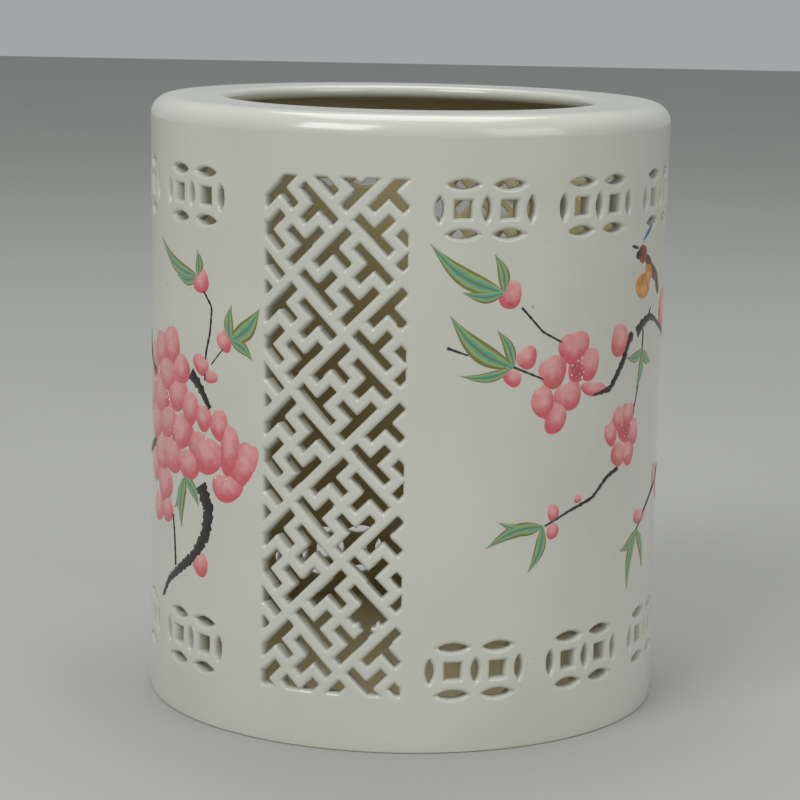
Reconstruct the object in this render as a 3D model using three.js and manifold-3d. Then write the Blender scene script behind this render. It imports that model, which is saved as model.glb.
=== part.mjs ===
// A cylindrical porcelain brush pot with two pierced fret panels and bands of pierced coin pairs.
// Units are millimetres, +Z is up, and the origin is the centre of the foot on the ground.
// Angles run from the front (-Y) towards +X.
import * as THREE from 'three';
import * as BufferGeometryUtils from 'three/addons/utils/BufferGeometryUtils.js';
import Module from 'manifold-3d';

// Driving dimensions
const POT_HEIGHT = 120;
const OUTER_RADIUS = 52;
const WALL = 2.8;
const MOUTH_RADIUS = 37;
const RIM_THICKNESS = 2.6;
const SHOULDER_RADIUS = 4;
const LIP_RADIUS = 0.9;
const FOOT_HEIGHT = 2.7;
const FOOT_INSET = 0.3;
const FOOT_WIDTH = 8;
const FLOOR_THICKNESS = 3;
const SEAM_GAP = 0.3;
const FACET_DEG = 7.5;

// Fret panels, one at the front left and one opposite
const PANEL_COUNT = 2;
const PANEL_CENTRE_DEG = -15.45;
const FRET_WIDTH = 28;
const FRET_BOTTOM = 11.1;
const FRET_TOP = 108.2;
const PANEL_MARGIN = 1.6;
const FRET_PERIOD = 21.4;
const FRET_WEB = 1.9;
const FRET_NODE_S = 2.3;
const FRET_NODE_Z = 100.6;
const FRET_LEAST_HOLE = 12;
const BREAK_SIZE = 3.4;
const BREAK_S = 7.3;
const BREAK_Z = 25.6;

// Coin pairs, in a top and a bottom band on each painted wall
const PAIRS_PER_WALL = 5;
const FIRST_PAIR_DEG = 31.6;
const PAIR_STEP_DEG = 27.7;
const TOP_BAND_Z = 102.9;
const BOTTOM_BAND_Z = 15.8;
const COIN_PITCH = 9;
const COIN_SQUARE = 3.6;
const LENS_OFFSET = 4.5;
const LENS_LENGTH = 6.2;
const SIDE_LENS_LENGTH = 4.8;
const LENS_WIDTH = 1.8;

const INNER_RADIUS = OUTER_RADIUS - WALL;
const WALL_BOTTOM = FOOT_HEIGHT + SEAM_GAP;
const WALL_TOP = POT_HEIGHT - SHOULDER_RADIUS - SEAM_GAP;
const CUT_CLEARANCE = 3;
const TURN_DEG = 360;
const PANEL_HALF_DEG = THREE.MathUtils.radToDeg((FRET_WIDTH / 2 + PANEL_MARGIN) / OUTER_RADIUS);
const FRET_HALF_DEG = THREE.MathUtils.radToDeg(FRET_WIDTH / 2 / OUTER_RADIUS);
const GAP_DEG = THREE.MathUtils.radToDeg(SEAM_GAP / OUTER_RADIUS);
const PANEL_STEP_DEG = TURN_DEG / PANEL_COUNT;

const wasm = await Module();
wasm.setup();

const pot = new THREE.Group();

function glaze() {
  return new THREE.MeshStandardMaterial({ color: 0xc9c9bd, roughness: 0.18, metalness: 0 });
}

function barePaste() {
  return new THREE.MeshStandardMaterial({ color: 0xd6cfbb, roughness: 0.7, metalness: 0 });
}

// A point at radius r and angle deg from the front.
function around(r, deg) {
  const turn = THREE.MathUtils.degToRad(deg);
  return new THREE.Vector2(r * Math.sin(turn), -r * Math.cos(turn));
}

// Merges shared corners and turns the faces outwards.
function welded(geometry) {
  const plain = geometry.clone();
  plain.deleteAttribute('normal');
  plain.deleteAttribute('uv');
  const merged = BufferGeometryUtils.mergeVertices(plain, 1e-4);
  const place = merged.getAttribute('position');
  const index = merged.getIndex();
  const a = new THREE.Vector3();
  const b = new THREE.Vector3();
  const c = new THREE.Vector3();
  let volume = 0;
  for (let i = 0; i < index.count; i += 3) {
    a.fromBufferAttribute(place, index.getX(i));
    b.fromBufferAttribute(place, index.getX(i + 1));
    c.fromBufferAttribute(place, index.getX(i + 2));
    volume += a.dot(b.cross(c));
  }
  if (volume < 0) {
    index.array.reverse();
  }
  return merged;
}

function toSolid(geometry) {
  const merged = welded(geometry);
  const vertProperties = new Float32Array(merged.getAttribute('position').array);
  const triVerts = new Uint32Array(merged.getIndex().array);
  return new wasm.Manifold(new wasm.Mesh({ numProp: 3, vertProperties, triVerts }));
}

function toGeometry(solid) {
  const mesh = solid.getMesh();
  const geometry = new THREE.BufferGeometry();
  geometry.setAttribute('position', new THREE.BufferAttribute(new Float32Array(mesh.vertProperties), 3));
  geometry.setIndex(new THREE.BufferAttribute(new Uint32Array(mesh.triVerts), 1));
  return geometry;
}

function addPiece(name, geometry, material) {
  const piece = new THREE.Mesh(geometry, material);
  piece.name = name;
  pot.add(piece);
}

// A ring sector between two angles, standing from one height to another.
function sector(rIn, rOut, fromDeg, toDeg, bottom, top) {
  const steps = Math.max(1, Math.round((toDeg - fromDeg) / FACET_DEG));
  const points = [];
  for (let i = 0; i <= steps; i += 1) {
    points.push(around(rOut, fromDeg + ((toDeg - fromDeg) * i) / steps));
  }
  for (let i = steps; i >= 0; i -= 1) {
    points.push(around(rIn, fromDeg + ((toDeg - fromDeg) * i) / steps));
  }
  const geometry = new THREE.ExtrudeGeometry(new THREE.Shape(points), {
    depth: top - bottom,
    bevelEnabled: false,
  });
  geometry.translate(0, 0, bottom);
  return geometry;
}

// A punch with the given outline, driven through the wall along its radius at one angle and height.
function punch(outline, deg, height) {
  const reach = WALL + 2 * CUT_CLEARANCE;
  const geometry = new THREE.ExtrudeGeometry(new THREE.Shape(outline), { depth: reach, bevelEnabled: false });
  const turn = THREE.MathUtils.degToRad(deg);
  const tangent = new THREE.Vector3(Math.cos(turn), Math.sin(turn), 0);
  const up = new THREE.Vector3(0, 0, 1);
  const outward = new THREE.Vector3(Math.sin(turn), -Math.cos(turn), 0);
  const frame = new THREE.Matrix4().makeBasis(tangent, up, outward);
  geometry.translate(0, 0, INNER_RADIUS - CUT_CLEARANCE);
  geometry.applyMatrix4(frame);
  geometry.translate(0, 0, height);
  return toSolid(geometry);
}

function lathe(profile) {
  const steps = TURN_DEG / FACET_DEG;
  const geometry = new THREE.LatheGeometry([...profile, profile[0].clone()], steps);
  geometry.rotateX(Math.PI / 2);
  return welded(geometry);
}

// Points of a quarter arc about a centre, from one angle to another.
function arc(centreR, centreZ, radius, fromDeg, toDeg, steps) {
  const points = [];
  for (let i = 0; i <= steps; i += 1) {
    const turn = THREE.MathUtils.degToRad(fromDeg + ((toDeg - fromDeg) * i) / steps);
    points.push(new THREE.Vector2(centreR + radius * Math.cos(turn), centreZ + radius * Math.sin(turn)));
  }
  return points;
}

// The flat inturned rim, with a round shoulder outside and a round lip at the mouth.
function rimRing() {
  const underStep = INNER_RADIUS - SEAM_GAP;
  const profile = [
    new THREE.Vector2(MOUTH_RADIUS, POT_HEIGHT - RIM_THICKNESS),
    new THREE.Vector2(underStep, POT_HEIGHT - RIM_THICKNESS),
    new THREE.Vector2(underStep, POT_HEIGHT - SHOULDER_RADIUS),
    ...arc(OUTER_RADIUS - SHOULDER_RADIUS, POT_HEIGHT - SHOULDER_RADIUS, SHOULDER_RADIUS, 0, 90, 3),
    ...arc(MOUTH_RADIUS + LIP_RADIUS, POT_HEIGHT - LIP_RADIUS, LIP_RADIUS, 90, 180, 2),
  ];
  addPiece('rim_ring', lathe(profile), glaze());
}

function footRing() {
  const outer = OUTER_RADIUS - FOOT_INSET;
  const inner = outer - FOOT_WIDTH;
  const profile = [
    new THREE.Vector2(inner, 0),
    new THREE.Vector2(outer - FOOT_INSET, 0),
    new THREE.Vector2(outer, FOOT_INSET),
    new THREE.Vector2(outer, FOOT_HEIGHT),
    new THREE.Vector2(inner, FOOT_HEIGHT),
  ];
  addPiece('foot_ring', lathe(profile), barePaste());
}

function floorDisc() {
  const radius = INNER_RADIUS - SEAM_GAP;
  const geometry = new THREE.CylinderGeometry(radius, radius, FLOOR_THICKNESS, TURN_DEG / FACET_DEG);
  geometry.rotateX(Math.PI / 2);
  geometry.translate(0, 0, WALL_BOTTOM + FLOOR_THICKNESS / 2);
  addPiece('floor_disc', welded(geometry), glaze());
}

// A lens outline of two shallow curves, lying along X or, upright, along Y.
function lensOutline(length, width, upright) {
  const share = [[-1, 0], [-0.5, -0.85], [0.5, -0.85], [1, 0], [0.5, 0.85], [-0.5, 0.85]];
  return share.map(([along, across]) => {
    const x = (along * length) / 2;
    const y = (across * width) / 2;
    return upright ? new THREE.Vector2(-y, x) : new THREE.Vector2(x, y);
  });
}

function squareOutline(side) {
  const h = side / 2;
  return [[-h, -h], [h, -h], [h, h], [-h, h]].map(([x, y]) => new THREE.Vector2(x, y));
}

// The nine holes of one pair of overlapping coins.
function coinPair(deg, height) {
  const arcDeg = (s) => deg + THREE.MathUtils.radToDeg(s / OUTER_RADIUS);
  const half = COIN_PITCH / 2;
  const cuts = [];
  for (const side of [-1, 1]) {
    cuts.push(punch(squareOutline(COIN_SQUARE), arcDeg(side * half), height));
    cuts.push(punch(lensOutline(SIDE_LENS_LENGTH, LENS_WIDTH, true), arcDeg(side * (half + LENS_OFFSET)), height));
    for (const level of [-1, 1]) {
      const lens = lensOutline(LENS_LENGTH, LENS_WIDTH, false);
      cuts.push(punch(lens, arcDeg(side * half), height + level * LENS_OFFSET));
    }
  }
  cuts.push(punch(lensOutline(SIDE_LENS_LENGTH, LENS_WIDTH, true), deg, height));
  return cuts;
}

function paintedWall(name, panelDeg) {
  const from = panelDeg + PANEL_HALF_DEG + GAP_DEG;
  const to = panelDeg + PANEL_STEP_DEG - PANEL_HALF_DEG;
  let wall = toSolid(sector(INNER_RADIUS, OUTER_RADIUS, from, to, WALL_BOTTOM, WALL_TOP));
  for (let i = 0; i < PAIRS_PER_WALL; i += 1) {
    const deg = panelDeg + FIRST_PAIR_DEG + i * PAIR_STEP_DEG;
    for (const height of [TOP_BAND_Z, BOTTOM_BAND_Z]) {
      for (const cut of coinPair(deg, height)) {
        wall = wall.subtract(cut);
      }
    }
  }
  addPiece(name, toGeometry(wall), glaze());
}

// One T-shaped hole of the fret, as an outline about the centre of its four-hole square.
// The square stands on its corner, and turn counts quarter turns round it.
function fretHole(turn) {
  const unit = FRET_PERIOD / Math.SQRT2 / 4;
  const inset = FRET_WEB / 2;
  const corners = [
    [-unit + inset, -2 * unit + inset],
    [2 * unit - inset, -2 * unit + inset],
    [2 * unit - inset, -unit - inset],
    [unit - inset, -unit - inset],
    [unit - inset, -inset],
    [inset, -inset],
    [inset, -unit - inset],
    [-unit + inset, -unit - inset],
  ];
  const angle = (-turn * Math.PI) / 2;
  return corners.map(([u, v]) => {
    const s = (u + v) / Math.SQRT2;
    const z = (u - v) / Math.SQRT2;
    return new THREE.Vector2(
      s * Math.cos(angle) - z * Math.sin(angle),
      s * Math.sin(angle) + z * Math.cos(angle),
    );
  });
}

function fretPanel(name, panelDeg, broken) {
  const from = panelDeg - PANEL_HALF_DEG + GAP_DEG;
  const to = panelDeg + PANEL_HALF_DEG;
  const outside = OUTER_RADIUS + CUT_CLEARANCE;
  const inside = INNER_RADIUS - CUT_CLEARANCE;
  const openFrom = panelDeg - FRET_HALF_DEG;
  const openTo = panelDeg + FRET_HALF_DEG;
  const opening = toSolid(sector(inside, outside, openFrom, openTo, FRET_BOTTOM, FRET_TOP));
  let panel = toSolid(sector(INNER_RADIUS, OUTER_RADIUS, from, to, WALL_BOTTOM, WALL_TOP));
  const half = FRET_PERIOD / 2;
  const reach = Math.ceil((FRET_TOP - FRET_BOTTOM) / half) + 2;
  for (let i = -2; i <= 2; i += 1) {
    for (let j = -reach; j <= 2; j += 1) {
      if ((i + j) % 2 === 0) {
        continue;
      }
      const s = FRET_NODE_S + i * half;
      const z = FRET_NODE_Z + j * half;
      for (let turn = 0; turn < 4; turn += 1) {
        const outline = fretHole(turn);
        const middle = new THREE.Vector2();
        outline.forEach((corner) => middle.addScaledVector(corner, 1 / outline.length));
        const local = outline.map((corner) => corner.clone().sub(middle));
        const deg = panelDeg + THREE.MathUtils.radToDeg((s + middle.x) / OUTER_RADIUS);
        const cut = punch(local, deg, z + middle.y).intersect(opening);
        if (cut.volume() > FRET_LEAST_HOLE) {
          panel = panel.subtract(cut);
        }
      }
    }
  }
  if (broken) {
    const gap = squareOutline(BREAK_SIZE).map((corner) => corner.rotateAround(new THREE.Vector2(), Math.PI / 4));
    panel = panel.subtract(punch(gap, panelDeg + THREE.MathUtils.radToDeg(BREAK_S / OUTER_RADIUS), BREAK_Z));
  }
  addPiece(name, toGeometry(panel), glaze());
}

rimRing();
const sides = ['front', 'back'];
for (let i = 0; i < PANEL_COUNT; i += 1) {
  const panelDeg = PANEL_CENTRE_DEG + i * PANEL_STEP_DEG;
  fretPanel(`fret_panel_${sides[i]}`, panelDeg, i === 0);
}
paintedWall('painted_wall_right', PANEL_CENTRE_DEG);
paintedWall('painted_wall_left', PANEL_CENTRE_DEG + PANEL_STEP_DEG);
floorDisc();
footRing();

export default pot;
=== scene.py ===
import math

import bpy
import numpy as np
from bpy.props import FloatProperty, FloatVectorProperty, PointerProperty
from mathutils import Matrix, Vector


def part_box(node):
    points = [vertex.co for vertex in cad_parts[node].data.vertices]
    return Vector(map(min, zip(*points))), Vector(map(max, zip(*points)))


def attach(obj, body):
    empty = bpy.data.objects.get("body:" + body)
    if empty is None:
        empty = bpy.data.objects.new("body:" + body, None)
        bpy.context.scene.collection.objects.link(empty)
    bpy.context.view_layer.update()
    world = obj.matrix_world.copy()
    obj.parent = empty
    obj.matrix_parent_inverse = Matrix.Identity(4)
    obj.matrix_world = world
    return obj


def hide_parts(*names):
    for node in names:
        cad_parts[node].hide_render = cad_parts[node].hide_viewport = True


bl_info = {
    "name": "Openwork brush pot",
    "version": (1, 0, 0),
    "blender": (4, 5, 0),
    "location": "View3D > Sidebar > Brush pot",
    "description": "Builds the glazed, pierced and painted surfaces of a porcelain brush pot",
    "category": "Object",
}

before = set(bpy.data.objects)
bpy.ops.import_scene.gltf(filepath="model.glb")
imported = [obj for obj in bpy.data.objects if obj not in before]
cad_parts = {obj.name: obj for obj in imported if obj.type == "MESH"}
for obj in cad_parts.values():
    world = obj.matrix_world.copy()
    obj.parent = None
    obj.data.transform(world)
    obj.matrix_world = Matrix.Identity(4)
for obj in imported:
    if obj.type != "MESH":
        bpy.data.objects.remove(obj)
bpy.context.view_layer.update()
RIM_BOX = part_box("rim_ring")
FOOT_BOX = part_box("foot_ring")
MM = 0.001

# Sizes in millimetres and angles in degrees; heights are from the ground, and angles run from the front to +X
HEIGHT = RIM_BOX[1][2] / MM
SKIN_CLEARANCE = 0.15
RADIUS = RIM_BOX[1][0] / MM - SKIN_CLEARANCE
FOOT_TOP = FOOT_BOX[1][2] / MM + SKIN_CLEARANCE
WALL_TOP = RIM_BOX[0][2] / MM
SHOULDER = HEIGHT - WALL_TOP
MOUTH = 37.0
RIM_THICKNESS = 2.6
RIM_DIP = 0.12
LIP = 1.3
FOOT_INNER = 44.0
FOOT_EDGE = 0.3
FOOT_MIDDLE = 1.4
BARE_BELOW = 0.25
FLOOR_THICKNESS = 3.0
FLOOR_EDGE_GAP = 3.1
FLOOR_RISE = 0.4
PINHOLE = 0.02
CREASE = 0.02
FOOT_DRAW_IN = 0.25
INNER_ROUND = 0.7

# The fret panels
PANEL_DEG = -15.45
FRET_HALF = 14.0
PANEL_HALF = 15.6
FRET_SPAN = (11.1, 108.2)
FRET_PERIOD = 21.4
FRET_WEB = 2.1
FRET_NODE = (2.3, 100.6)
FRET_CORNER = 0.62
LEAST_HOLE_AREA = 4.3
BREAK_AT = (7.3, 25.6)
BREAK_REACH = 2.6
BREAK_RAGGED = 0.25

# The coin pairs: lengths and widths of the lenses, half sides of the squares
BANDS = (102.9, 15.8)
BAND_HALF = 6.2
PAIR_HALF = 11
PAIR_FIRST = 31.6
PAIR_STEP = 27.7
PAIRS = 5
COIN_HALF_PITCH = 4.5
COIN_LENS_RISE = 4.55
UPRIGHT_LENS = (4.8, 1.7)
FLAT_LENS = (6.2, 1.75)
SQUARE_HALF = 1.45
SQUARE_ROUND = 0.2

# The grids: spacing away from the holes, the step that measures a slope, the least slope squared, how near a
# hole's edge a point is moved on to it as a share of the spacing, and the distance that counts as none
WALL_ROW_STEP = 2.5
WALL_COLUMN_STEP = 1.2
FRET_ROW_STEP = 2.0
FRET_MARGIN = 1
PROBE = 0.05
LEAST_SLOPE = 0.3
SNAP_SHARE = 0.62
NO_GAP = 1e-6

# One degree of arc on the wall, half a turn, and a distance past any hole. The painting is copied half a turn
# round the pot, so what is written as LEFT less an angle shows that far left of the front.
WALL_ARC_RADIUS = 52.0
DEG_MM = math.radians(1) * WALL_ARC_RADIUS
LEFT = 180.0
FAR = 99.0

# The enamel: how deep its edge is sunk, how far its middle stands up, and the lift of one layer on the next
SINK = -0.03
PETAL_DOME = 0.13
LEAF_DOME = 0.11
BRANCH_DOME = 0.12
LAYER_LIFT = 0.012
LAYERS = 6
LEAF_BOW = 0.10
BRANCH_ROUGH = 0.15
BIRD_NOTCH = 0.04
DOT_RADIUS = 0.26
GOLDEN_TURN = 2.39996

# The photograph's view: millimetres for the sensor and lens, metres for the place, radians for the angles
FRAME_PIXELS = 800
FOCAL_PIXELS = 2644.3
SENSOR = 36.0
CAMERA_AT = (0, -0.5303, 0.1534)
CAMERA_PITCH, CAMERA_YAW, CAMERA_ROLL = 0.1771, -0.0020, 0.0192
STAGE_HALF = 2.5
LAMPS = (
    ("key", (-0.55, -0.75, 0.85), 0.6, 6.5),
    ("fill", (0.75, -0.6, 0.5), 0.6, 2.2),
    ("top", (0.0, 0.25, 1.0), 0.7, 4.0),
)


class PotSizes(bpy.types.PropertyGroup):
    """Sizes that a user would change, in metres."""
    wall: FloatProperty(name="Wall", description="Thickness of the wall", default=2.8 * MM,
                        unit="LENGTH")
    edge: FloatProperty(name="Hole edge", description="Radius the glaze gives a hole's outer edge",
                        default=0.5 * MM, unit="LENGTH")
    waist: FloatProperty(name="Waist", description="How far the wall draws in at mid height",
                         default=0.45 * MM, unit="LENGTH")
    grid: FloatProperty(name="Grid", description="Spacing of the pierced surfaces", default=0.31 * MM,
                        unit="LENGTH")


class PotColours(bpy.types.PropertyGroup):
    """Colours that a user would change, in linear light."""
    glaze: FloatVectorProperty(name="Glaze", description="Cream white glaze", default=(0.60, 0.60, 0.525),
                               subtype="COLOR")
    paste: FloatVectorProperty(name="Paste", description="Bare fired clay", default=(0.50, 0.40, 0.26),
                               subtype="COLOR")
    rose: FloatVectorProperty(name="Rose", description="Deep rose of the petals", default=(0.60, 0.10, 0.12),
                              subtype="COLOR")
    blush: FloatVectorProperty(name="Blush", description="Pale wash of the petals",
                               default=(0.74, 0.42, 0.40), subtype="COLOR")
    leaf: FloatVectorProperty(name="Leaf", description="Turquoise green of the leaves",
                              default=(0.05, 0.33, 0.30), subtype="COLOR")
    outline: FloatVectorProperty(name="Outline", description="Olive line round the leaves",
                                 default=(0.19, 0.17, 0.045), subtype="COLOR")
    bark: FloatVectorProperty(name="Bark", description="Brown black of the branches",
                              default=(0.022, 0.016, 0.012), subtype="COLOR")


class Socket:
    """A node socket whose arithmetic adds Math nodes."""

    def __init__(self, shader, out):
        self.shader = shader
        self.out = out

    def _math(self, operation, a, b):
        """Adds one Math node of two values."""
        return self.shader.node("ShaderNodeMath", {"operation": operation}, {0: a, 1: b})

    def __add__(self, other):
        return self._math("ADD", self, other)

    def __sub__(self, other):
        return self._math("SUBTRACT", self, other)

    def __rsub__(self, other):
        return self._math("SUBTRACT", other, self)

    def __mul__(self, other):
        return self._math("MULTIPLY", self, other)

    __radd__ = __add__
    __rmul__ = __mul__


class Shader:
    """Builds one material's nodes."""

    def __init__(self, name):
        self.material = bpy.data.materials.new(name)
        self.material.use_nodes = True
        self.tree = self.material.node_tree
        self.principled = self.tree.nodes["Principled BSDF"]

    def node(self, kind, settings=None, inputs=None, output=0):
        """Adds a node: its settings first, then its socket values or links."""
        made = self.tree.nodes.new(kind)
        for key, value in (settings or {}).items():
            setattr(made, key, value)
        for key, value in (inputs or {}).items():
            self.feed(made.inputs[key], value)
        return Socket(self, made.outputs[output])

    def feed(self, socket, value):
        """Links a socket to a socket, or sets its value."""
        if isinstance(value, Socket):
            self.tree.links.new(value.out, socket)
        else:
            socket.default_value = value

    def noise(self, scale, detail=3.0):
        """Soft noise in the object's own space, with scale cells to the metre."""
        place = self.node("ShaderNodeTexCoord", output=3)
        return self.node("ShaderNodeTexNoise", None, {"Vector": place, "Scale": scale, "Detail": detail})

    def uv(self, axis):
        """The first or second coordinate of the piece's own UV map."""
        place = self.node("ShaderNodeTexCoord", output=2)
        return self.node("ShaderNodeSeparateXYZ", None, {0: place}, output=axis)

    def ramp(self, value, low, high):
        """Rises from 0 to 1 as the value goes from low to high."""
        return self.node("ShaderNodeMapRange", {"interpolation_type": "SMOOTHSTEP"},
                         {0: value, 1: low, 2: high, 3: 0.0, 4: 1.0})

    def mix(self, factor, a, b):
        """Mixes two colours: the first at factor 0, the second at 1."""
        made = self.tree.nodes.new("ShaderNodeMix")
        made.data_type = "RGBA"
        self.feed(made.inputs[0], factor)
        self.feed(made.inputs[6], a)
        self.feed(made.inputs[7], b)
        return Socket(self, made.outputs[2])

    def bump(self, height, strength, distance):
        """A normal tilted by the slope of a height."""
        return self.node("ShaderNodeBump", None,
                         {"Height": height, "Strength": strength, "Distance": distance})

    def finish(self, colour, roughness, normal=None, coat=0.0):
        """Feeds the surface and returns the material."""
        self.feed(self.principled.inputs["Base Color"], colour)
        self.feed(self.principled.inputs["Roughness"], roughness)
        self.principled.inputs["Coat Weight"].default_value = coat
        self.principled.inputs["Coat Roughness"].default_value = 0.06
        if normal is not None:
            self.feed(self.principled.inputs["Normal"], normal)
        return self.material


def rgba(colour, gain=1.0):
    """An opaque colour, made lighter or darker by a gain."""
    return (colour[0] * gain, colour[1] * gain, colour[2] * gain, 1.0)


def colours():
    """The colours that the user set."""
    return bpy.context.scene.pot_colours


def sizes():
    """The sizes that the user set."""
    return bpy.context.scene.pot_sizes


def glaze_material():
    """Cream glaze: slow colour drift, tiny iron specks and an uneven glassy skin."""
    made = Shader("cream_glaze")
    drift = made.noise(34.0)
    speck = made.ramp(made.noise(800.0, 1.0), 0.79, 0.83)
    base = rgba(colours().glaze)
    tone = made.mix(made.ramp(drift, 0.35, 0.65), rgba(colours().glaze, 0.95), base)
    tone = made.mix(speck * 0.5, tone, (0.16, 0.12, 0.07, 1.0))
    ripple = made.noise(160.0, 2.0) + made.noise(1200.0, 1.0) * 0.12
    return made.finish(tone, drift * 0.08 + 0.17, made.bump(ripple, 0.25, 0.00025), 0.4)


def inner_shade_material():
    """The glaze inside, painted tan and darker than the outer glaze as painted shade of the dim inside; the
    tone drifts at random.
    """
    made = Shader("inner_glaze_painted_shade")
    drift = made.noise(60.0)
    # Both tans are painted shade of the dim inside; the noise only varies them at random
    tone = made.mix(drift, (0.42, 0.35, 0.18, 1.0), (0.55, 0.48, 0.29, 1.0))
    return made.finish(tone, drift * 0.1 + 0.3, made.bump(made.noise(300.0), 0.2, 0.0002))


def paste_material():
    """Bare clay of the foot, warm and sandy."""
    made = Shader("bare_paste")
    grain = made.noise(1500.0)
    tone = made.mix(grain, rgba(colours().paste, 0.7), rgba(colours().paste, 1.15))
    return made.finish(tone, grain * 0.2 + 0.65, made.bump(grain, 0.5, 0.0002))


def petal_material():
    """Rose enamel: deep at the base and edge of a petal, pale towards its tip, in brushed washes."""
    made = Shader("rose_enamel")
    edge = made.uv(0)
    wash = made.noise(700.0)
    tip = made.uv(1)
    depth = made.ramp(edge * 0.45 + wash * 0.6 + (1.0 - tip) * 0.75, 0.4, 1.3)
    tone = made.mix(depth, rgba(colours().blush), rgba(colours().rose))
    return made.finish(tone, wash * 0.1 + 0.24, made.bump(wash, 0.3, 0.0001), 0.3)


def heart_material():
    """Deeper rose enamel for flower hearts."""
    made = Shader("deep_rose_enamel")
    edge = made.uv(0)
    wash = made.noise(900.0)
    depth = made.ramp(edge + wash * 0.4, 0.5, 1.3)
    tone = made.mix(depth, rgba(colours().rose, 0.75), rgba(colours().rose, 1.2))
    return made.finish(tone, wash * 0.1 + 0.24, None, 0.3)


def leaf_material():
    """Leaf enamel: turquoise in its middle, yellow green towards an olive outline, with a midrib."""
    made = Shader("leaf_enamel")
    across = made.uv(0)
    off = made.node("ShaderNodeMath", {"operation": "ABSOLUTE"}, {0: across * 2.0 - 1.0})
    wash = made.noise(500.0)
    rim = made.ramp(off + wash * 0.15, 0.66, 0.82)
    rib = 1.0 - made.ramp(off, 0.05, 0.16)
    belly = made.ramp(off + wash * 0.5, 0.35, 0.8)
    green = made.mix(belly, rgba(colours().leaf), (0.27, 0.40, 0.13, 1.0))
    line = made.node("ShaderNodeMath", {"operation": "MAXIMUM"}, {0: rim, 1: rib})
    return made.finish(made.mix(line, green, rgba(colours().outline)), wash * 0.1 + 0.2, None, 0.4)


def plain_enamel(name, colour, low):
    """One brushed enamel colour with a streaky wash; low is the gain of its darkest streaks."""
    made = Shader(name)
    wash = made.noise(650.0, 4.0)
    tone = made.mix(made.ramp(wash, 0.3, 0.7), rgba(colour, low), rgba(colour, 1.25))
    return made.finish(tone, wash * 0.15 + 0.25, made.bump(wash, 0.3, 0.0001), 0.2)


def wall_radius(z):
    """Outer radius at a height: the full radius, less the waist times a half sine of the height to the power
    0.8, less a straight draw-in that grows towards the foot."""
    share = np.clip(z / HEIGHT, 0.0, 1.0)
    waist = sizes().waist / MM
    bow = np.sin(np.pi * np.clip(share * 1.02, 0, 1)) ** 0.8
    return RADIUS - waist * bow - FOOT_DRAW_IN * (1 - share)


def around(deg, radius, z):
    """Points in metres: X is the radius times the sine of the angle, Y minus the radius times its cosine."""
    turn = np.radians(deg)
    return np.stack([radius * np.sin(turn), -radius * np.cos(turn), z + 0 * turn], -1) * MM


def add_mesh(name, points, faces, material, uv=None, smooth=True):
    """Puts points and four-sided faces into a mesh object that sits at the origin."""
    mesh = bpy.data.meshes.new(name)
    mesh.from_pydata(points.reshape(-1, 3).tolist(), [], faces.tolist())
    mesh.polygons.foreach_set("use_smooth", np.full(len(mesh.polygons), smooth))
    if uv is not None:
        loops = np.empty(len(mesh.loops), dtype=np.int32)
        mesh.loops.foreach_get("vertex_index", loops)
        layer = mesh.uv_layers.new(name="UVMap")
        layer.data.foreach_set("uv", uv.reshape(-1, 2)[loops].astype(np.float32).ravel())
    mesh.materials.append(material)
    mesh.validate()
    mesh.update()
    made = bpy.data.objects.new(name, mesh)
    bpy.context.scene.collection.objects.link(made)
    return made


def grid_faces(rows, columns, start=0):
    """Quads of a grid whose points run along each row in turn."""
    corner = start + np.arange(rows - 1)[:, None] * columns + np.arange(columns - 1)[None, :]
    return np.stack([corner, corner + 1, corner + columns + 1, corner + columns], -1).reshape(-1, 4)


def box_distance(x, y, half_x, half_y):
    """Distance to a rectangle: the larger of how far x and y lie past its half sides, less than 0 inside."""
    return np.maximum(np.abs(x) - half_x, np.abs(y) - half_y)


def lens_distance(x, y, length, width):
    """Distance to a lens whose tips lie on X: the farther of two arc centres' distances, less the radius."""
    arc = (length ** 2 / 4 + width ** 2 / 4) / width
    middle = arc - width / 2
    return np.maximum(np.hypot(x, y - middle), np.hypot(x, y + middle)) - arc


def coin_distance(s, z):
    """Distance to the nearest of the nine holes of each coin pair; s is the arc from the panel's centre."""
    best = np.full(s.shape, FAR)
    for pair in range(PAIRS):
        for band in BANDS:
            x = s - (PAIR_FIRST + pair * PAIR_STEP) * DEG_MM
            y = z - band
            best = np.minimum(best, lens_distance(y, x, *UPRIGHT_LENS))
            for side in (-COIN_HALF_PITCH, COIN_HALF_PITCH):
                square = box_distance(x - side, y, SQUARE_HALF, SQUARE_HALF) - SQUARE_ROUND
                best = np.minimum(best, square)
                best = np.minimum(best, lens_distance(y, x - 2 * side, *UPRIGHT_LENS))
                for level in (-COIN_LENS_RISE, COIN_LENS_RISE):
                    best = np.minimum(best, lens_distance(x - side, y - level, *FLAT_LENS))
    return best


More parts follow.
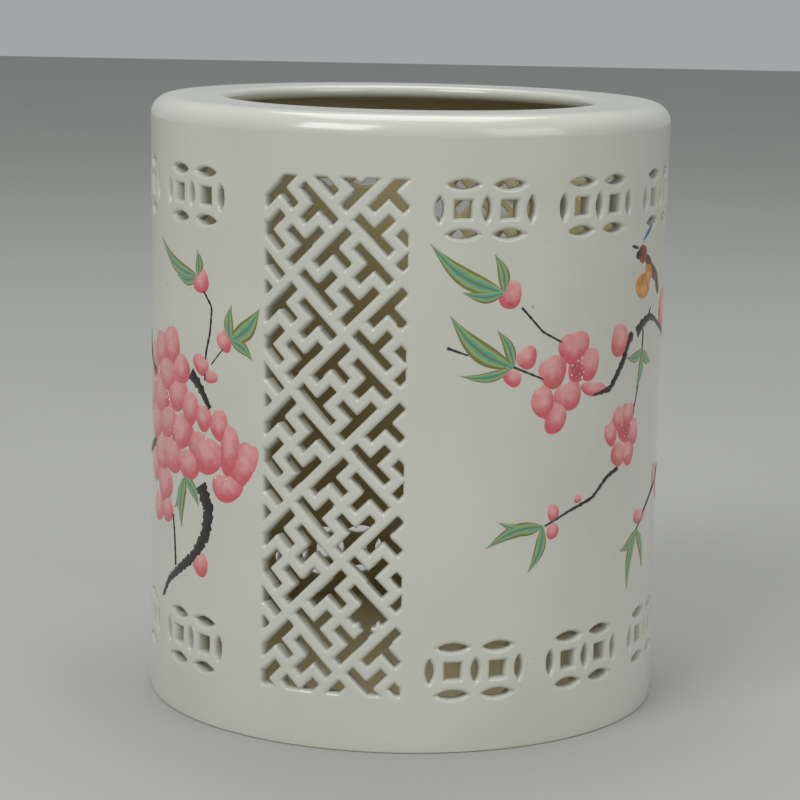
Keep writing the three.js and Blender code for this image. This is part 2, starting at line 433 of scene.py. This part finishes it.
def fret_distance(s, z):
    """Distance to the T-shaped holes: the nearer of a bar three units long and a stem two units long, less
    the corner radius, cut off at the panel's window. Four of them go round the middle of each square that
    stands on its corner, a quarter turn apart, and slivers under the least area are left solid."""
    unit = FRET_PERIOD / math.sqrt(2) / 4
    inset = FRET_WEB / 2 + FRET_CORNER
    window = np.maximum(np.abs(s) - FRET_HALF, np.maximum(FRET_SPAN[0] - z, z - FRET_SPAN[1]))
    area = abs((s[0, 1] - s[0, 0]) * (z[1, 0] - z[0, 0]))
    best = np.full(s.shape, FAR)
    half = FRET_PERIOD / 2
    for i in range(-2, 3):
        for j in range(-12, 3):
            if (i + j) % 2 == 0:
                continue
            x = s - FRET_NODE[0] - i * half
            y = z - FRET_NODE[1] - j * half
            u = (x + y) / math.sqrt(2)
            v = (x - y) / math.sqrt(2)
            for _ in range(4):
                bar = box_distance(u - unit / 2, v + 1.5 * unit, 1.5 * unit - inset, unit / 2 - inset)
                stem = box_distance(u - unit / 2, v + unit, unit / 2 - inset, unit - inset)
                hole = np.maximum(np.minimum(bar, stem) - FRET_CORNER, window)
                if np.count_nonzero(hole < 0) * area > LEAST_HOLE_AREA:
                    best = np.minimum(best, hole)
                u, v = v, -u
    return best


def broken_distance(s, z):
    """The fret with one web missing: the nearer of the fret and a square on its corner with wavy sides."""
    x = s - BREAK_AT[0] + BREAK_RAGGED * np.sin(z * 5.1)
    y = z - BREAK_AT[1] + BREAK_RAGGED * np.sin(s * 4.3)
    return np.minimum(fret_distance(s, z), (np.abs(x) + np.abs(y)) - BREAK_REACH)


def pierced_wall(name, centre_deg, columns, rows, distance, material):
    """A wall slab of two sheets on one grid of arc and height. Grid points near a hole move along the slope
    of its distance on to its edge. There the outer sheet sinks by a quarter circle of the edge radius and
    the inner one rises by a share of that. Strips join the sheets round each hole and round the slab."""
    s, z = np.meshgrid(columns, rows)
    gap = distance(s, z)
    slope_s = (distance(s + PROBE, z) - distance(s - PROBE, z)) / (2 * PROBE)
    slope_z = (distance(s, z + PROBE) - distance(s, z - PROBE)) / (2 * PROBE)
    size = np.maximum(slope_s ** 2 + slope_z ** 2, LEAST_SLOPE)
    near = np.abs(gap) < sizes().grid / MM * SNAP_SHARE
    inside = np.zeros_like(near)
    inside[1:-1, 1:-1] = True
    move = near & inside
    s = s - np.where(move, gap * slope_s / size, 0)
    z = z - np.where(move, gap * slope_z / size, 0)
    gap = np.where(move, 0.0, distance(s, z))
    edge = sizes().edge / MM
    depth = edge - np.sqrt(np.maximum(edge ** 2 - (edge - np.clip(gap, 0, edge)) ** 2, 0))
    outer_r = wall_radius(z) - depth
    inner_r = wall_radius(z) - sizes().wall / MM + INNER_ROUND * depth
    deg = centre_deg + s / DEG_MM
    sheets = [around(deg, radius, z).reshape(-1, 3) for radius in (outer_r, inner_r)]
    points = np.concatenate(sheets)
    high, wide = s.shape
    total = high * wide
    middle = (gap[:-1, :-1] + gap[1:, :-1] + gap[:-1, 1:] + gap[1:, 1:]) / 4
    keep = middle > NO_GAP
    corner = np.arange(high - 1)[:, None] * wide + np.arange(wide - 1)[None, :]
    a = corner[keep]
    outer = np.stack([a, a + 1, a + wide + 1, a + wide], -1)
    inner = outer[:, ::-1] + total
    padded = np.pad(keep, 1)
    cell_edges = (
        (padded[:-2, 1:-1], corner, corner + 1),
        (padded[1:-1, 2:], corner + 1, corner + wide + 1),
        (padded[2:, 1:-1], corner + wide + 1, corner + wide),
        (padded[1:-1, :-2], corner + wide, corner),
    )
    sides = []
    for neighbour, first, second in cell_edges:
        open_edge = keep & ~neighbour
        p, q = first[open_edge], second[open_edge]
        sides.append(np.stack([q, p, p + total, q + total], -1))
    sides = np.concatenate(sides)
    on_border = np.ones((high, wide), dtype=bool)
    on_border[1:-1, 1:-1] = False
    border = np.tile(on_border.ravel(), 2)[sides].all(axis=1)
    points = np.concatenate([points, points])
    sides = np.where(border[:, None], sides + 2 * total, sides)
    faces = np.concatenate([outer, inner, sides])
    used, renumbered = np.unique(faces, return_inverse=True)
    made = add_mesh(name, points[used], renumbered.reshape(-1, 4), material)
    # The inner sheet takes the tan inside material, which is painted shade of the dim inside
    made.data.materials.append(inner_shade_material())
    slots = np.zeros(len(faces), dtype=np.int32)
    slots[len(outer):len(outer) + len(inner)] = 1
    made.data.polygons.foreach_set("material_index", slots)
    made.data.update()
    return made


def dense(spans, low, high, fine, coarse):
    """Grid lines from low to high: fine inside the spans and coarse outside them."""
    marks = [low]
    for start, end in spans:
        marks += list(np.linspace(marks[-1], start, max(2, int((start - marks[-1]) / coarse) + 1))[1:])
        marks += list(np.linspace(start, end, int((end - start) / fine) + 1)[1:])
    marks += list(np.linspace(marks[-1], high, max(2, int((high - marks[-1]) / coarse) + 1))[1:])
    return np.array(marks)


def ring(name, profile, material, steps=288):
    """A closed profile of radius and height carried round Z: one copy of it at each step of the turn."""
    profile = np.array(profile)
    deg = np.linspace(0, 360, steps, endpoint=False)
    turn, index = np.meshgrid(deg, np.arange(len(profile)), indexing="ij")
    points = around(turn, profile[index, 0], profile[index, 1])
    count = len(profile)
    i = np.arange(steps)[:, None]
    j = np.arange(count)[None, :]
    here = i * count + j
    up = i * count + (j + 1) % count
    far = ((i + 1) % steps) * count + j
    far_up = ((i + 1) % steps) * count + (j + 1) % count
    faces = np.stack([here, far, far_up, up], -1).reshape(-1, 4)
    return add_mesh(name, points, faces, material)


def bend(r, z, radius, start, end, steps):
    """Points of an arc about a centre: the centre plus the radius times the cosine and sine of each angle."""
    turn = np.radians(np.linspace(start, end, steps))
    return list(zip(r + radius * np.cos(turn), z + radius * np.sin(turn)))


class Paint:
    """Gathers raised enamel strokes that lie on the wall; places are an angle and a height."""

    def __init__(self):
        self.points = []
        self.faces = []
        self.uv = []
        self.count = 0
        self.layer = 0

    def add(self, s, z, height, u, v):
        """Lays one grid of arc and height on the wall: its radius plus the sink, the height and the layer's
        lift. The layers count up and start again at the lowest."""
        rows, columns = s.shape
        self.layer = (self.layer + 1) % LAYERS
        lift = SINK + height + LAYER_LIFT * self.layer
        self.points.append(around(s / DEG_MM, wall_radius(z) + lift, z).reshape(-1, 3))
        self.uv.append(np.stack([u, v], -1).reshape(-1, 2))
        self.faces.append(grid_faces(rows, columns, self.count))
        self.count += rows * columns

    def petal(self, deg, z, wide, tall, tilt=0.0, notch=0.12):
        """A petal: an oval whose edge waves by the sine of three turns and is notched at its tip. Its dome
        falls to nothing at the edge by the fourth power of the share of the way out."""
        share = np.linspace(0.02, 1, 8)[:, None]
        turn = np.linspace(0, 2 * np.pi, 29)[None, :]
        edge = 1 + notch * 0.5 * np.sin(3 * turn + deg) - notch * np.exp(-((turn - np.pi / 2) / 0.3) ** 2)
        x = wide * share * edge * np.cos(turn)
        y = tall * share * edge * np.sin(turn)
        lean = math.radians(tilt)
        s = deg * DEG_MM + x * math.cos(lean) - y * math.sin(lean)
        z = z + x * math.sin(lean) + y * math.cos(lean)
        dome = PETAL_DOME * (1 - share ** 4) + 0 * turn
        self.add(s, z, dome, share + 0 * turn, (1 + share * np.sin(turn)) / 2)

    def leaf(self, base, tip, belly, bow):
        """A leaf: a strip from base to tip, bowed by a half sine. Its half width is a half sine of the length
        to the power 0.75, so it is widest two fifths along."""
        start = np.array([base[0] * DEG_MM, base[1]])
        end = np.array([tip[0] * DEG_MM, tip[1]])
        along = np.linspace(0, 1, 19)[:, None]
        across = np.linspace(-1, 1, 9)[None, :]
        line = end - start
        side = np.array([-line[1], line[0]])
        reach = np.hypot(*line)
        width = belly * np.sin(np.pi * along ** 0.75) ** 1.1 + 0.02
        shift = bow * np.sin(np.pi * along) + across * width / reach
        s = start[0] + along * line[0] + shift * side[0]
        z = start[1] + along * line[1] + shift * side[1]
        dome = LEAF_DOME * (1 - across ** 4) + 0 * along
        self.add(s, z, dome, (across + 1) / 2 + 0 * along, along + 0 * across)

    def branch(self, route, start_width, end_width):
        """A branch: a strip along a smoothed line through a few places, its width waving by two sines."""
        places = np.array([(deg * DEG_MM, z) for deg, z in route])
        reach = np.concatenate([[0], np.cumsum(np.hypot(*np.diff(places, axis=0).T))])
        at = np.linspace(0, reach[-1], max(8, int(reach[-1] / 0.5)))
        s0 = np.interp(at, reach, places[:, 0])
        z0 = np.interp(at, reach, places[:, 1])
        kernel = np.ones(3) / 3
        s0[1:-1] = np.convolve(s0, kernel, "same")[1:-1]
        z0[1:-1] = np.convolve(z0, kernel, "same")[1:-1]
        ds, dz = np.gradient(s0), np.gradient(z0)
        size = np.maximum(np.hypot(ds, dz), 1e-6)
        width = np.interp(at, [0, reach[-1]], [start_width, end_width]) / 2
        width = width * (1 + BRANCH_ROUGH * np.sin(at * 3.1) + BRANCH_ROUGH * np.sin(at * 7.3 + 1))
        across = np.linspace(-1, 1, 5)[None, :]
        s = s0[:, None] - (dz / size * width)[:, None] * across
        z = z0[:, None] + (ds / size * width)[:, None] * across
        dome = BRANCH_DOME * (1 - across ** 4) + 0 * s
        self.add(s, z, dome, (across + 1) / 2 + 0 * s, at[:, None] / 10 + 0 * across)

    def object(self, name, material):
        """Makes one object of all the strokes and of their copy half a turn round the pot."""
        points = np.concatenate(self.points)
        uv = np.concatenate(self.uv)
        faces = np.concatenate(self.faces)
        turned = points * np.array([-1, -1, 1])
        both = np.concatenate([points, turned])
        all_faces = np.concatenate([faces, faces + len(points)])
        return add_mesh(name, both, orient(both, all_faces), material, np.concatenate([uv, uv]))


def orient(points, faces):
    """Turns each face so that it looks away from the pot's axis."""
    a, b, c = points[faces[:, 0]], points[faces[:, 1]], points[faces[:, 2]]
    normal = np.cross(b - a, c - points[faces[:, 3]] + (c - a))
    outward = a[:, 0] * normal[:, 0] + a[:, 1] * normal[:, 1]
    return np.where((outward < 0)[:, None], faces[:, ::-1], faces)


# Each leaf group: its base, then each leaf's tip and half width
LEAF_GROUPS = (
    ((20.3, 87.5), ((4.5, 96.7, 1.9), (18.0, 94.7, 1.2), (11.4, 87.7, 1.2))),
    ((22.7, 73.4), ((8.9, 83.4, 2.0), (19.0, 80.5, 1.1), (11.1, 72.2, 1.1))),
    ((63.0, 73.4), ((55.6, 72.7, 1.1), (68.8, 70.5, 1.1), (60.5, 66.0, 1.1))),
    ((31.0, 42.7), ((20.4, 44.2, 1.2), (17.6, 39.3, 1.3), (27.4, 34.0, 1.3))),
    ((63.2, 37.7), ((55.4, 34.6, 1.2), (59.1, 26.5, 1.4), (67.4, 29.6, 1.3))),
    ((LEFT - 50.5, 87.4), ((LEFT - 68.1, 93.4, 1.4), (LEFT - 50.8, 92.5, 1.2), (LEFT - 59.4, 86.9, 1.3))),
    ((LEFT - 40.0, 76.2), ((LEFT - 39.8, 83.0, 1.3), (LEFT - 32.2, 83.0, 1.9), (LEFT - 34.0, 73.0, 1.2))),
    ((LEFT - 55.7, 47.7), ((LEFT - 60.5, 40.9, 1.5), (LEFT - 57.0, 37.7, 1.6), (LEFT - 50.1, 42.7, 1.4))),
)

# Each petal: its angle, height, half width, half length and tilt
PETALS = (
    (21.8, 87.1, 2.3, 3.0, -20), (25.9, 75.2, 2.3, 2.2, 40), (22.7, 71.6, 2.0, 1.7, -30),
    (37.9, 76.5, 3.9, 3.2, 10), (32.4, 72.2, 3.2, 3.2, 30), (42.1, 73.0, 3.3, 3.6, -20),
    (36.6, 67.3, 3.6, 3.0, 10), (30.2, 66.5, 2.6, 3.4, 20), (33.5, 63.4, 2.4, 3.4, -20),
    (44.0, 68.0, 3.6, 1.4, -8), (52.6, 76.5, 3.0, 3.3, 0), (50.4, 58.6, 2.2, 2.8, 20),
    (53.4, 61.2, 2.6, 2.6, 0), (57.0, 61.6, 2.7, 2.6, 0), (59.6, 57.8, 2.3, 2.9, -10),
    (57.6, 54.0, 2.4, 2.6, 30), (53.4, 54.2, 2.4, 2.4, -30), (40.2, 47.1, 1.0, 0.9, 0),
    (33.5, 45.2, 1.4, 1.8, 10), (33.5, 41.6, 1.4, 1.7, -10), (64.6, 40.2, 3.0, 1.5, -8),
    (79.0, 80.0, 3.4, 4.2, 0), (84.0, 77.0, 3.2, 3.8, 20), (77.0, 46.5, 3.0, 3.0, 0),
    (82.0, 43.5, 3.2, 3.2, 0), (88.0, 82.0, 3.0, 3.4, -20),
    (LEFT - 49.6, 86.5, 2.6, 2.3, 20), (LEFT - 41.9, 75.9, 1.9, 2.2, 30), (LEFT - 49.6, 70.6, 2.6, 2.0, -20),
    (LEFT - 46.2, 68.6, 2.2, 1.4, 0), (LEFT - 49.4, 31.5, 2.6, 2.6, 0),
)

# The crowded blossom that shows left of the front, drawn larger by one factor so that its petals overlap
CLUSTER_GROWTH = 1.22
CLUSTER = (
    (LEFT - 62.6, 72.7, 3.5, 3.3, 0), (LEFT - 69.5, 71.0, 3.6, 3.2, 0), (LEFT - 57.6, 68.6, 2.8, 2.6, 20),
    (LEFT - 65.5, 66.8, 4.2, 3.0, 0), (LEFT - 76.0, 68.0, 3.4, 3.4, 0), (LEFT - 59.5, 63.6, 3.8, 3.0, 10),
    (LEFT - 53.8, 61.6, 2.5, 3.0, 0), (LEFT - 43.4, 59.6, 2.1, 2.6, 0), (LEFT - 48.6, 60.4, 2.0, 2.2, 0),
    (LEFT - 70.0, 62.0, 4.2, 3.4, 0), (LEFT - 79.0, 61.0, 3.6, 3.6, 0), (LEFT - 65.0, 57.6, 4.4, 3.2, 0),
    (LEFT - 57.6, 56.4, 4.0, 3.0, 20), (LEFT - 73.6, 56.0, 3.8, 3.4, 0), (LEFT - 48.2, 53.6, 4.6, 3.2, -12),
    (LEFT - 40.2, 55.2, 2.1, 4.2, -4), (LEFT - 36.3, 52.9, 2.6, 4.6, -28), (LEFT - 41.0, 47.8, 3.6, 2.4, 8),
    (LEFT - 54.0, 50.6, 3.6, 2.6, 10), (LEFT - 62.4, 51.2, 4.2, 3.0, 0), (LEFT - 69.6, 50.4, 4.0, 3.2, 0),
    (LEFT - 66.6, 44.6, 3.6, 3.0, 0), (LEFT - 74.6, 47.6, 3.4, 3.4, 0), (LEFT - 71.0, 39.2, 2.8, 2.6, 0),
    (LEFT - 64.6, 39.9, 2.4, 2.4, 0),
)

# Flower hearts, written as petals are
HEARTS = (
    (38.8, 71.9, 2.5, 2.6, 0), (56.0, 58.6, 3.0, 2.6, 0), (21.6, 85.6, 1.3, 1.1, 0),
    (LEFT - 66.0, 61.0, 2.4, 2.0, 0), (LEFT - 60.4, 55.0, 2.0, 1.6, 0), (LEFT - 70.6, 52.4, 2.0, 1.8, 0),
    (LEFT - 61.0, 70.6, 1.2, 1.0, 0),
)

# Pale stamen dots: the angle, height and radius of each group, and its number of dots
DOT_RINGS = (
    (39.4, 72.3, 2.2, 13), (56.6, 59.0, 2.2, 12), (LEFT - 66.0, 61.0, 2.6, 12), (LEFT - 60.4, 55.0, 2.6, 12),
    (LEFT - 48.6, 53.6, 3.0, 12), (LEFT - 42.0, 48.4, 2.4, 11), (LEFT - 70.6, 52.4, 2.4, 10),
)

# Branches: the places that each passes, and its width at either end
TWIGS = (
    (((24.4, 84.6), (29.6, 79.8), (34.5, 77.6)), 0.5, 0.4),
    (((8.4, 77.4), (12.8, 76.0)), 0.6, 0.3),
    (((22.7, 73.6), (30.0, 70.9)), 0.45, 0.35),
    (((43.9, 67.0), (49.4, 67.4), (51.6, 69.6), (54.4, 72.6), (55.6, 75.4), (57.7, 77.3)), 0.9, 1.9),
    (((59.8, 77.2), (62.6, 78.7), (66.7, 79.7), (70.6, 78.8), (73.6, 77.6)), 2.4, 0.6),
    (((66.0, 79.8), (67.4, 81.4)), 0.9, 0.4),
    (((63.2, 77.4), (62.9, 73.0), (61.6, 67.0), (59.4, 61.5)), 0.6, 0.4),
    (((53.4, 51.5), (49.4, 50.3), (44.6, 46.8), (37.7, 45.0), (31.4, 42.7)), 1.0, 0.45),
    (((74.5, 44.0), (69.0, 41.6), (63.2, 37.7)), 0.8, 0.4),
    (((73.0, 77.8), (80.0, 75.6), (88.0, 74.4), (97.0, 69.0), (106.0, 66.0)), 1.0, 2.4),
    (((74.0, 43.8), (82.0, 46.6), (92.0, 47.0), (106.0, 52.0)), 0.8, 1.8),
    (((LEFT - 48.6, 84.8), (LEFT - 45.8, 82.0), (LEFT - 46.4, 77.1), (LEFT - 47.8, 73.0),
      (LEFT - 48.2, 67.7)), 0.6, 0.7),
    (((LEFT - 41.6, 75.0), (LEFT - 46.0, 71.0)), 0.3, 0.3),
    (((LEFT - 53.3, 68.4), (LEFT - 50.1, 66.4), (LEFT - 46.4, 62.4)), 2.6, 1.2),
    (((LEFT - 49.4, 47.1), (LEFT - 46.6, 42.7), (LEFT - 47.6, 37.7), (LEFT - 51.5, 32.9), (LEFT - 57.7, 29.2),
      (LEFT - 63.3, 25.9), (LEFT - 66.9, 22.0)), 3.4, 1.0),
    (((LEFT - 61.2, 39.4), (LEFT - 60.2, 34.0), (LEFT - 59.8, 29.4)), 0.5, 0.8),
)

# The bird: each part's name, colour and ovals
BIRD = (
    ("bird_belly", (0.62, 0.27, 0.06), ((62.3, 86.2, 3.7, 2.7, 0), (65.4, 89.0, 2.4, 1.6, -30))),
    ("bird_head", (0.30, 0.05, 0.02), ((61.3, 92.4, 2.1, 1.9, -20),)),
    ("bird_wing", (0.13, 0.05, 0.03),
     ((65.0, 90.4, 2.6, 1.2, -35), (68.4, 88.2, 4.2, 1.3, -28), (72.0, 85.2, 2.2, 1.1, -50))),
    ("bird_crest", (0.06, 0.13, 0.34), ((63.6, 96.3, 2.6, 0.5, 32),)),
    ("bird_beak", (0.02, 0.015, 0.012), ((57.6, 94.0, 1.6, 0.35, -12), (59.4, 92.4, 1.3, 0.9, 10))),
)


def ride(piece, slot, *nodes):
    """Hangs a piece on the root body and hides the nodes it stands for; its material slot is not used."""
    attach(piece, "root")
    if nodes:
        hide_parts(*nodes)


class BuildStep(bpy.types.Operator):
    """Shared base of the pot's steps."""
    bl_options = {"REGISTER"}


class POT_OT_walls(BuildStep):
    """Builds the two painted walls with their pierced coin pairs."""
    bl_idname = "pot.walls"
    bl_label = "Painted walls"

    def execute(self, context):
        fine = sizes().grid / MM
        spans = [(band - BAND_HALF, band + BAND_HALF) for band in sorted(BANDS)]
        rows = dense(spans, FOOT_TOP, WALL_TOP, fine, WALL_ROW_STEP)
        middles = [(PAIR_FIRST + i * PAIR_STEP) * DEG_MM for i in range(PAIRS)]
        pair_spans = [(middle - PAIR_HALF, middle + PAIR_HALF) for middle in middles]
        end = LEFT * DEG_MM - PANEL_HALF
        columns = dense(pair_spans, PANEL_HALF, end, fine, WALL_COLUMN_STEP)
        for name, deg in (("right", PANEL_DEG), ("left", PANEL_DEG + LEFT)):
            wall = pierced_wall(f"{name}_wall", deg, columns, rows, coin_distance, glaze_material())
            ride(wall, "glaze", f"painted_wall_{name}")
        return {"FINISHED"}


class POT_OT_frets(BuildStep):
    """Builds the two fret panels, the front one with its broken web."""
    bl_idname = "pot.frets"
    bl_label = "Fret panels"

    def execute(self, context):
        fine = sizes().grid / MM
        columns = np.linspace(-PANEL_HALF, PANEL_HALF, int(2 * PANEL_HALF / fine))
        span = (FRET_SPAN[0] - FRET_MARGIN, FRET_SPAN[1] + FRET_MARGIN)
        rows = dense([span], FOOT_TOP, WALL_TOP, fine, FRET_ROW_STEP)
        panels = (("front", PANEL_DEG, broken_distance), ("back", PANEL_DEG + LEFT, fret_distance))
        for name, deg, shape in panels:
            panel = pierced_wall(f"{name}_fret", deg, columns, rows, shape, glaze_material())
            ride(panel, "glaze", f"fret_panel_{name}")
        return {"FINISHED"}


class POT_OT_rim(BuildStep):
    """Builds the flat rim with its shoulder and lip."""
    bl_idname = "pot.rim"
    bl_label = "Rim"

    def execute(self, context):
        outer = float(wall_radius(np.array(WALL_TOP)))
        under = HEIGHT - RIM_THICKNESS
        inside = outer - sizes().wall / MM
        profile = [(inside, WALL_TOP), (outer, WALL_TOP), (outer, WALL_TOP + CREASE)]
        profile += bend(outer - SHOULDER, WALL_TOP, SHOULDER, 0, 90, 12)[1:]
        profile += [(MOUTH + 8, HEIGHT - RIM_DIP), (MOUTH + 4, HEIGHT - RIM_DIP)]
        profile += bend(MOUTH + LIP, HEIGHT - LIP, LIP, 88, 270, 14)
        profile += [(MOUTH + 5, under), (MOUTH + 9, under), (inside - 0.6, under - 0.1)]
        ride(ring("rim", profile, glaze_material()), "glaze", "rim_ring")
        return {"FINISHED"}


class POT_OT_base(BuildStep):
    """Builds the foot ring and the floor."""
    bl_idname = "pot.base"
    bl_label = "Foot and floor"

    def execute(self, context):
        outer = float(wall_radius(np.array(FOOT_TOP)))
        profile = [(FOOT_INNER, 0.0), (outer - 0.5, 0.0)]
        profile += bend(outer - FOOT_EDGE, FOOT_EDGE, FOOT_EDGE, -90, 0, 6)[1:]
        profile += [(outer, FOOT_MIDDLE), (outer, FOOT_TOP - CREASE), (outer, FOOT_TOP)]
        profile += [(FOOT_INNER, FOOT_TOP), (FOOT_INNER - 0.4, FOOT_MIDDLE)]
        foot = ring("foot", profile, glaze_material())
        foot.data.materials.append(paste_material())
        low = np.array([poly.center[2] < BARE_BELOW * MM for poly in foot.data.polygons])
        foot.data.polygons.foreach_set("material_index", low.astype(np.int32))
        foot.data.update()
        ride(foot, "bare_paste", "foot_ring")
        top = FOOT_TOP + FLOOR_THICKNESS
        rim = outer - FLOOR_EDGE_GAP
        profile = [(PINHOLE, top)]
        profile += [(r, top + FLOOR_RISE * (r / rim) ** 4) for r in np.linspace(4, rim, 10)]
        profile += [(rim, FOOT_TOP), (PINHOLE, FOOT_TOP)]
        # The floor takes the tan inside material, which is painted shade of the dim inside
        ride(ring("floor", profile[::-1], inner_shade_material(), 144), "glaze", "floor_disc")
        return {"FINISHED"}


class POT_OT_painting(BuildStep):
    """Paints the blossom, leaves, branches and bird in raised enamel on both walls."""
    bl_idname = "pot.painting"
    bl_label = "Enamel painting"

    def execute(self, context):
        branches = Paint()
        for route, start, end in TWIGS:
            branches.branch(route, start, end)
        ride(branches.object("enamel_branches", plain_enamel("bark_enamel", colours().bark, 0.5)), "glaze")
        leaves = Paint()
        for base, tips in LEAF_GROUPS:
            for number, (deg, z, belly) in enumerate(tips):
                leaves.leaf(base, (deg, z), belly, LEAF_BOW if number % 2 == 0 else -LEAF_BOW)
        ride(leaves.object("enamel_leaves", leaf_material()), "glaze")
        petals = Paint()
        for petal in PETALS:
            petals.petal(*petal)
        for deg, z, wide, tall, tilt in CLUSTER:
            petals.petal(deg, z, wide * CLUSTER_GROWTH, tall * CLUSTER_GROWTH, tilt)
        ride(petals.object("enamel_petals", petal_material()), "glaze")
        # Each heart and each dot starts the layers again, so it lies in the lowest one
        hearts = Paint()
        for heart in HEARTS:
            hearts.layer = LAYERS - 1
            hearts.petal(*heart)
        ride(hearts.object("enamel_hearts", heart_material()), "glaze")
        dots = Paint()
        for deg, z, reach, count in DOT_RINGS:
            turn = np.arange(count) * GOLDEN_TURN
            far = reach * np.sqrt((np.arange(count) + 0.6) / count)
            for angle, out in zip(turn, far):
                dots.layer = LAYERS - 1
                dots.petal(deg + out * math.cos(angle) / DEG_MM, z + out * math.sin(angle),
                           DOT_RADIUS, DOT_RADIUS)
        ride(dots.object("enamel_dots", plain_enamel("dot_enamel", (0.78, 0.74, 0.58), 0.9)), "glaze")
        for name, colour, ovals in BIRD:
            part = Paint()
            for oval in ovals:
                part.petal(*oval, BIRD_NOTCH)
            ride(part.object(name, plain_enamel(name + "_enamel", colour, 0.6)), "glaze")
        return {"FINISHED"}


class POT_OT_stage(BuildStep):
    """Sets the floor, the pale surroundings, the lights and the camera."""
    bl_idname = "pot.stage"
    bl_label = "Stage"

    def execute(self, context):
        scene = context.scene
        points = STAGE_HALF * np.array([[-1, -1, 0], [1, -1, 0], [1, 1, 0], [-1, 1, 0]])
        made = Shader("pale_floor")
        wash = made.noise(6.0)
        made.finish(made.mix(wash, (0.40, 0.40, 0.375, 1), (0.44, 0.44, 0.41, 1)), 0.7)
        add_mesh("stage_floor", points, np.array([[0, 1, 2, 3]]), made.material, None, False)
        world = bpy.data.worlds.new("studio")
        world.use_nodes = True
        sky = world.node_tree.nodes["Background"]
        sky.inputs["Color"].default_value = (0.56, 0.59, 0.60, 1)
        sky.inputs["Strength"].default_value = 0.65
        scene.world = world
        for name, place, size, power in LAMPS:
            data = bpy.data.lights.new(name, "AREA")
            data.shape = "RECTANGLE"
            data.size = size
            data.size_y = size
            data.energy = power
            lamp = bpy.data.objects.new(name, data)
            here = np.array(place)
            away = here - np.array([0, 0, HEIGHT * MM / 2])
            lamp.matrix_world = look(here, -away / np.linalg.norm(away), 0.0)
            scene.collection.objects.link(lamp)
        data = bpy.data.cameras.new("camera")
        data.sensor_width = SENSOR
        data.lens = FOCAL_PIXELS * SENSOR / FRAME_PIXELS
        camera = bpy.data.objects.new("camera", data)
        level = math.cos(CAMERA_PITCH)
        forward = np.array([math.sin(CAMERA_YAW) * level, math.cos(CAMERA_YAW) * level,
                            -math.sin(CAMERA_PITCH)])
        camera.matrix_world = look(np.array(CAMERA_AT), forward, CAMERA_ROLL)
        scene.collection.objects.link(camera)
        scene.camera = camera
        scene.view_settings.view_transform = "Standard"
        return {"FINISHED"}


def look(place, forward, roll):
    """A matrix at a place that looks along forward, turned about it by roll."""
    side = np.cross(forward, (0, 0, 1))
    side = side / np.linalg.norm(side)
    up = np.cross(side, forward)
    right = math.cos(roll) * side + math.sin(roll) * up
    above = -math.sin(roll) * side + math.cos(roll) * up
    matrix = np.eye(4)
    matrix[:3, 0] = right
    matrix[:3, 1] = above
    matrix[:3, 2] = -forward
    matrix[:3, 3] = place
    return Matrix(matrix.tolist())


STEPS = (POT_OT_stage, POT_OT_walls, POT_OT_frets, POT_OT_rim, POT_OT_base, POT_OT_painting)


class POT_PT_panel(bpy.types.Panel):
    """Lists the pot's steps."""
    bl_idname = "POT_PT_panel"
    bl_label = "Brush pot"
    bl_space_type = "VIEW_3D"
    bl_region_type = "UI"
    bl_category = "Brush pot"

    def draw(self, context):
        for step in STEPS:
            self.layout.operator(step.bl_idname)


CLASSES = (PotSizes, PotColours, *STEPS, POT_PT_panel)


def register():
    """Adds the classes and the scene's two groups of settings."""
    for each in CLASSES:
        bpy.utils.register_class(each)
    bpy.types.Scene.pot_sizes = PointerProperty(type=PotSizes)
    bpy.types.Scene.pot_colours = PointerProperty(type=PotColours)


def unregister():
    """Takes them away again."""
    del bpy.types.Scene.pot_colours
    del bpy.types.Scene.pot_sizes
    for each in reversed(CLASSES):
        bpy.utils.unregister_class(each)


def main():
    """Builds the pot step by step."""
    register()
    bpy.ops.pot.stage()
    bpy.ops.pot.walls()
    bpy.ops.pot.frets()
    bpy.ops.pot.rim()
    bpy.ops.pot.base()
    bpy.ops.pot.painting()


if __name__ == "__main__":
    main()
